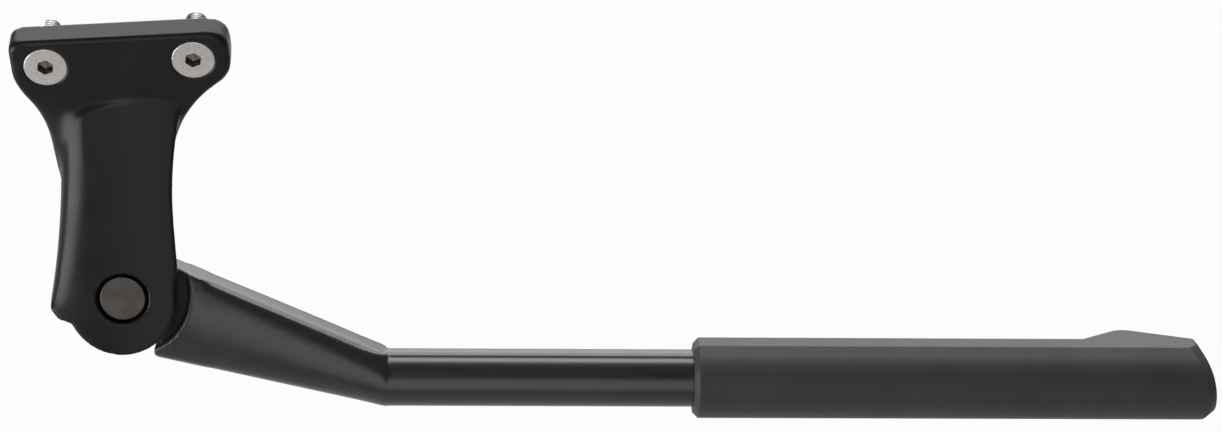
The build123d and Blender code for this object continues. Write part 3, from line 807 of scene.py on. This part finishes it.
def casting_paint(settings):
    """Satin black paint over a fine cast grain, a little paler on the edges."""
    material, tree = new_finish("satin_casting")
    place = object_place(tree)
    cloud = noise(tree, place, 70)
    grain = noise(tree, place, 1 / settings.casting_grain, roughness=0.6)
    edges = edge_mask(tree, settings.edge_softness)
    worn = number(tree, "MULTIPLY_ADD", edges, EDGE_WEAR, spread(tree, cloud, 0, 0.35))
    colour = tint(tree, worn, settings.casting_colour, light=1.8)
    relief = soft_relief(tree, grain, depth=0.018 * MM)
    return dress(material, colour, spread(tree, cloud, 0.31, 0.37), relief, Specular_IOR_Level=0.24)


def leg_anodising(settings):
    """Warm black anodising with faint lines drawn along the leg, and painted shade, darker and duller,
    about the pivot.
    """
    material, tree = new_finish("anodised_leg")
    along = Vector(joint("foot_slide")["axis"])
    turn = along.to_track_quat("X", "Z").inverted().to_euler()
    cloud = noise(tree, object_place(tree, turn=turn), 45)
    lines = noise(tree, object_place(tree, stretch=(0.02, 1, 1), turn=turn), 2600, detail=2)
    unshaded = unshaded_share(tree, along)
    anodised = clouded(tree, cloud, settings.leg_colour, light=1.35)
    # Painted shade: the leg takes the darker, duller colour about its pivot.
    colour = blend(tree, "RGBA", unshaded, (*PIVOT_SHADE_COLOUR, 1), anodised)
    roughness = blend(tree, "FLOAT", unshaded, PIVOT_SHADE_ROUGHNESS, spread(tree, lines, 0.272, 0.288))
    relief = soft_relief(tree, lines, depth=0.0002 * MM)
    return dress(material, colour, roughness, relief, Specular_IOR_Level=0.7)


def moulded_plastic(name, settings):
    """Charcoal plastic with a fine moulded texture and a faint cloudiness."""
    material, tree = new_finish(name)
    place = object_place(tree)
    cloud = noise(tree, place, 55)
    grain = noise(tree, place, 1 / settings.foot_grain, roughness=0.65)
    colour = clouded(tree, cloud, settings.foot_colour, light=1.25)
    relief = soft_relief(tree, grain, depth=0.05 * MM, softness=settings.edge_softness)
    return dress(material, colour, spread(tree, grain, 0.44, 0.56), relief, Specular_IOR_Level=0.42)


def turned_stainless(settings):
    """Turned stainless steel: fine rings along the skin's rows, with painted shade that darkens the
    pressed sockets.
    """
    material, tree = new_finish("turned_stainless")
    skin = node(tree, "ShaderNodeUVMap", uv_map="Skin")
    rings = node(tree, "ShaderNodeMapping", Scale=(0.6, 400, 1))
    tree.links.new(skin.outputs["UV"], rings.inputs["Vector"])
    lines = noise(tree, rings.outputs["Vector"], 1)
    cloud = noise(tree, object_place(tree), 1700, roughness=0.6)
    socket = node(tree, "ShaderNodeAttribute", attribute_name="socket")
    bright = clouded(tree, cloud, settings.stainless_colour, light=1.3)
    # Painted shade: a darker copy of the steel's colour for the sockets' rows.
    dim = (*(SOCKET_PAINTED_SHADE * part for part in settings.stainless_colour), 1)
    colour = blend(tree, "RGBA", socket.outputs["Fac"], bright, dim)
    relief = soft_relief(tree, lines, depth=0.004 * MM)
    return dress(material, colour, spread(tree, lines, 0.28, 0.42), relief, Metallic=1.0)


def dark_steel(settings):
    """Blackened steel with short rubbed streaks."""
    material, tree = new_finish("blackened_steel")
    streaks = noise(tree, object_place(tree, stretch=(1, 0.15, 0.15)), 1400, roughness=0.6)
    cloud = noise(tree, object_place(tree), 160)
    colour = clouded(tree, cloud, settings.dark_steel_colour, light=1.4)
    relief = soft_relief(tree, streaks, depth=0.006 * MM, softness=0.35 * MM)
    return dress(material, colour, spread(tree, streaks, 0.36, 0.50), relief, Metallic=1.0)


def plain_metal(name, colour, rough, grain):
    """A bare metal with a fine grain in its colour and its gloss."""
    material, tree = new_finish(name)
    place = object_place(tree)
    fine = noise(tree, place, 1 / grain, roughness=0.6)
    cloud = noise(tree, place, 220, detail=2)
    gloss = spread(tree, fine, rough - 0.06, rough + 0.08)
    relief = soft_relief(tree, fine, depth=0.006 * MM, softness=0.25 * MM)
    return dress(material, clouded(tree, cloud, colour, light=1.3), gloss, relief, Metallic=1.0)


class KICKSTAND_OT_casting(bpy.types.Operator):
    """Eases the edges of the cast mounting head and paints it"""

    bl_idname = "kickstand.casting"
    bl_label = "Finish the casting"

    def execute(self, context):
        finish = context.scene.kickstand_finish
        source = frame["nodes"]["mounting_head"]
        mesh = softened_copy("soft_casting", source, finish.casting_mesh, finish.casting_ease, Matrix())
        round_over(mesh, casting_shoulders, finish.shoulder_round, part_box("mounting_head"))
        add_piece("soft_casting", mesh, casting_paint(finish), "head", "mounting_head")
        return {"FINISHED"}


class KICKSTAND_OT_screws(bpy.types.Operator):
    """Turns the two countersunk screws with their sockets and threads"""

    bl_idname = "kickstand.screws"
    bl_label = "Make the screws"

    def execute(self, context):
        settings = context.scene.kickstand_screws
        low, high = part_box("mounting_screws")
        parts = []
        for centre in (-settings.pitch / 2, settings.pitch / 2):
            rings = screw_rings(settings, centre, low.y, high.y)
            skin = tube_mesh("turned_screw", rings, SCREW_CREASE)
            # The sockets' rows are marked for painted shade.
            inside = np.arange(len(skin.vertices)) < SOCKET_ROWS * SCREW_COLUMNS
            socket = skin.attributes.new("socket", "FLOAT", "POINT")
            socket.data.foreach_set("value", inside.astype(np.float32))
            parts.append(skin)
        mesh = join_meshes("turned_screws", parts)
        steel = turned_stainless(context.scene.kickstand_finish)
        add_piece("turned_screws", mesh, steel, "head", "mounting_screws")
        return {"FINISHED"}


class KICKSTAND_OT_pivot(bpy.types.Operator):
    """Finishes the pivot pin, its washer and ring, the bush and the thrust washers"""

    bl_idname = "kickstand.pivot"
    bl_label = "Finish the pivot"

    def execute(self, context):
        finish = context.scene.kickstand_finish
        paint(["pivot_pin", "pivot_washer"], dark_steel(finish))
        ring = plain_metal("spring_ring", finish.spring_colour, rough=0.34, grain=0.2 * MM)
        paint(["retaining_ring"], ring)
        bronze = plain_metal("sintered_bronze", finish.bronze_colour, rough=0.42, grain=0.3 * MM)
        paint(["pivot_bush", "front_thrust_washer", "rear_thrust_washer"], bronze)
        return {"FINISHED"}


class KICKSTAND_OT_detent(bpy.types.Operator):
    """Finishes the plunger and winds the coil spring above it"""

    bl_idname = "kickstand.detent"
    bl_label = "Make the detent"

    def execute(self, context):
        finish = context.scene.kickstand_finish
        ground = plain_metal("ground_plunger", finish.spring_colour, rough=0.28, grain=0.15 * MM)
        paint(["detent_plunger"], ground)
        axis = -Vector(joint("plunger_slide")["axis"]).normalized()
        points = node_points("detent_spring", Matrix())
        reach = points @ np.array(axis)
        low, high = float(reach.min()), float(reach.max())
        middle = Vector((points.min(axis=0) + points.max(axis=0)) / 2)
        foot = middle + axis * (low - middle.dot(axis))
        rings = coil_rings(context.scene.kickstand_spring, foot, axis, high - low)
        mesh = tube_mesh("wound_spring", rings, SPRING_CREASE)
        wire = plain_metal("spring_wire", finish.spring_colour, rough=0.3, grain=0.12 * MM)
        add_piece("wound_spring", mesh, wire, "head", "detent_spring")
        return {"FINISHED"}


class KICKSTAND_OT_leg(bpy.types.Operator):
    """Eases the leg's edges, anodises it and blackens its stop pin"""

    bl_idname = "kickstand.leg"
    bl_label = "Finish the leg"

    def execute(self, context):
        finish = context.scene.kickstand_finish
        mesh = softened_copy("soft_leg", frame["nodes"]["leg"], finish.leg_mesh, 0, leg_axes())
        round_over(mesh, clear_of_hub, finish.leg_ease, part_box("leg"))
        round_over(mesh, root_shoulder, finish.root_round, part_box("leg"))
        add_piece("soft_leg", mesh, leg_anodising(finish), "leg", "leg")
        steel = plain_metal("stop_pin_steel", finish.dark_steel_colour, rough=0.4, grain=0.2 * MM)
        paint(["stop_pin"], steel)
        return {"FINISHED"}


class KICKSTAND_OT_foot(bpy.types.Operator):
    """Gives the foot its moulded texture"""

    bl_idname = "kickstand.foot"
    bl_label = "Finish the foot"

    def execute(self, context):
        paint(["foot_sleeve"], moulded_plastic("moulded_charcoal", context.scene.kickstand_finish))
        return {"FINISHED"}


class KICKSTAND_OT_latch(bpy.types.Operator):
    """Finishes the latch lever and its pin, and arches the leaf spring that flattens under the lever"""

    bl_idname = "kickstand.latch"
    bl_label = "Make the latch"

    def execute(self, context):
        finish = context.scene.kickstand_finish
        paint(["latch_lever"], moulded_plastic("moulded_lever", finish))
        steel = plain_metal("latch_pin_steel", finish.dark_steel_colour, rough=0.4, grain=0.2 * MM)
        paint(["latch_pin"], steel)
        axes = leg_axes()
        turn = axes.to_3x3()
        points = node_points("latch_spring", axes)
        low, high = points.min(axis=0), points.max(axis=0)
        rings = leaf_rings(low, high, context.scene.kickstand_spring.leaf) @ np.array(turn).T
        mesh = tube_mesh("arched_leaf", rings, SPRING_CREASE)
        strip = plain_metal("spring_strip", finish.spring_colour, rough=0.32, grain=0.15 * MM)
        leaf = add_piece("arched_leaf", mesh, strip, "foot", "latch_spring")
        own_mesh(leaf)
        return {"FINISHED"}


def studio_floor(settings):
    """A pale floor that the camera sees as nearly white, softly shaded under the object."""
    material, tree = new_finish("pale_floor")
    tree.nodes.clear()
    rays = node(tree, "ShaderNodeLightPath").outputs
    shiny = number(tree, "MAXIMUM", rays["Is Glossy Ray"], rays["Is Transmission Ray"])
    mirrored = number(tree, "MULTIPLY", shiny, settings.floor_mirrored)
    share = number(tree, "MULTIPLY_ADD", rays["Is Camera Ray"], settings.floor_white, mirrored)
    matt = node(tree, "ShaderNodeBsdfDiffuse", Color=(*settings.floor_colour, 1))
    white = node(tree, "ShaderNodeEmission", Color=(1, 1, 1, 1), Strength=1.0)
    mixed = node(tree, "ShaderNodeMixShader")
    for socket, source in zip(mixed.inputs, (share, matt.outputs[0], white.outputs[0])):
        tree.links.new(source, socket)
    out = node(tree, "ShaderNodeOutputMaterial")
    tree.links.new(mixed.outputs[0], out.inputs["Surface"])
    return material


def floor_mesh(level):
    """A flat square grid at a level, with points at all pairs of even steps across and along."""
    row, column = np.meshgrid(np.arange(FLOOR_CELLS), np.arange(FLOOR_CELLS), indexing="ij")
    lines = FLOOR_CELLS + 1
    corner = row * lines + column
    faces = np.stack([corner, corner + lines, corner + lines + 1, corner + 1], axis=-1).reshape(-1, 4)
    reach = np.linspace(-FLOOR_REACH, FLOOR_REACH, lines)
    across, along = np.meshgrid(reach, reach, indexing="ij")
    points = np.stack([across, along, np.full_like(across, level)], axis=-1).reshape(-1, 3)
    mesh = bpy.data.meshes.new("floor")
    mesh.from_pydata(points.tolist(), [], faces.tolist())
    return mesh


def soft_panel(name, place, aim, size, brightness):
    """A rectangular light panel at a place, facing a point, with a given brightness as seen."""
    light = bpy.data.lights.new(name, "AREA")
    light.shape = "RECTANGLE"
    light.size, light.size_y = size
    light.energy = brightness * math.pi * size[0] * size[1]
    panel = bpy.data.objects.new(name, light)
    panel.location = place
    panel.rotation_euler = (aim - place).to_track_quat("-Z", "Y").to_euler()
    panel.visible_camera = False
    bpy.context.scene.collection.objects.link(panel)


def photo_camera(settings):
    """The camera at the photograph's place: round the target by azimuth and elevation, then leaned."""
    turn, rise, lean = settings.azimuth, settings.elevation, settings.roll
    away = Vector((math.sin(turn) * math.cos(rise), -math.cos(turn) * math.cos(rise), math.sin(rise)))
    right = Vector((math.cos(turn), math.sin(turn), 0))
    up = away.cross(right)
    level = right * math.cos(lean) - up * math.sin(lean)
    upright = right * math.sin(lean) + up * math.cos(lean)
    camera = bpy.data.objects.new("photo_camera", bpy.data.cameras.new("photo_camera"))
    camera.data.sensor_width = SENSOR_WIDTH
    camera.data.lens = settings.lens
    camera.data.clip_start = 10 * MM
    bpy.context.scene.collection.objects.link(camera)
    place = Vector(settings.target) + away * settings.distance
    camera.matrix_world = Matrix.Translation(place) @ Matrix((level, upright, away)).transposed().to_4x4()
    return camera


class KICKSTAND_OT_stage(bpy.types.Operator):
    """Sets the pale floor, the soft panels, the room light and the camera"""

    bl_idname = "kickstand.stage"
    bl_label = "Set the stage"

    def execute(self, context):
        settings = context.scene.kickstand_stage
        scene = context.scene
        mesh = floor_mesh(cad_box[0][2] - settings.floor_gap)
        mesh.materials.append(studio_floor(settings))
        floor = bpy.data.objects.new("floor", mesh)
        scene.collection.objects.link(floor)
        middle = Vector(settings.target)
        aims = {"middle": middle, "head": Vector((0, 0, middle.z))}
        for name, lit, offset, size, light in PANELS:
            soft_panel(name, aims[lit] + Vector(offset), aims[lit], size, getattr(settings, light))
        room = scene.world or bpy.data.worlds.new("room")
        scene.world = room
        room.use_nodes = True
        backdrop = room.node_tree.nodes["Background"]
        backdrop.inputs["Color"].default_value = (1, 1, 1, 1)
        backdrop.inputs["Strength"].default_value = settings.room_light
        scene.camera = photo_camera(settings)
        scene.view_settings.view_transform = "Standard"
        return {"FINISHED"}


class KICKSTAND_PT_sidebar(bpy.types.Panel):
    """The steps of the kickstand and the values they use"""

    bl_idname = "KICKSTAND_PT_sidebar"
    bl_label = "Kickstand"
    bl_space_type = "VIEW_3D"
    bl_region_type = "UI"
    bl_category = "Kickstand"

    def draw(self, context):
        layout = self.layout
        for step in STEPS:
            layout.operator(step.bl_idname)
        for group in GROUPS:
            box = layout.box()
            settings = getattr(context.scene, group)
            for name in settings.__annotations__:
                box.prop(settings, name)


STEPS = (
    KICKSTAND_OT_casting,
    KICKSTAND_OT_screws,
    KICKSTAND_OT_pivot,
    KICKSTAND_OT_detent,
    KICKSTAND_OT_leg,
    KICKSTAND_OT_foot,
    KICKSTAND_OT_latch,
    KICKSTAND_OT_stage,
)
GROUPS = {
    "kickstand_finish": FinishSettings,
    "kickstand_screws": ScrewSettings,
    "kickstand_spring": SpringSettings,
    "kickstand_stage": StageSettings,
}


def register():
    """Adds the settings, the steps and the sidebar panel."""
    for group in GROUPS.values():
        bpy.utils.register_class(group)
    for name, group in GROUPS.items():
        setattr(bpy.types.Scene, name, PointerProperty(type=group))
    for step in STEPS:
        bpy.utils.register_class(step)
    bpy.utils.register_class(KICKSTAND_PT_sidebar)


def unregister():
    """Takes the panel, the steps and the settings out again."""
    bpy.utils.unregister_class(KICKSTAND_PT_sidebar)
    for step in reversed(STEPS):
        bpy.utils.unregister_class(step)
    for name in GROUPS:
        delattr(bpy.types.Scene, name)
    for group in GROUPS.values():
        bpy.utils.unregister_class(group)


def main():
    """Runs every step in order."""
    register()
    bpy.ops.kickstand.casting()
    bpy.ops.kickstand.screws()
    bpy.ops.kickstand.pivot()
    bpy.ops.kickstand.detent()
    bpy.ops.kickstand.leg()
    bpy.ops.kickstand.foot()
    bpy.ops.kickstand.latch()
    bpy.ops.kickstand.stage()
    bpy.context.view_layer.update()


if __name__ == "__main__":
    main()
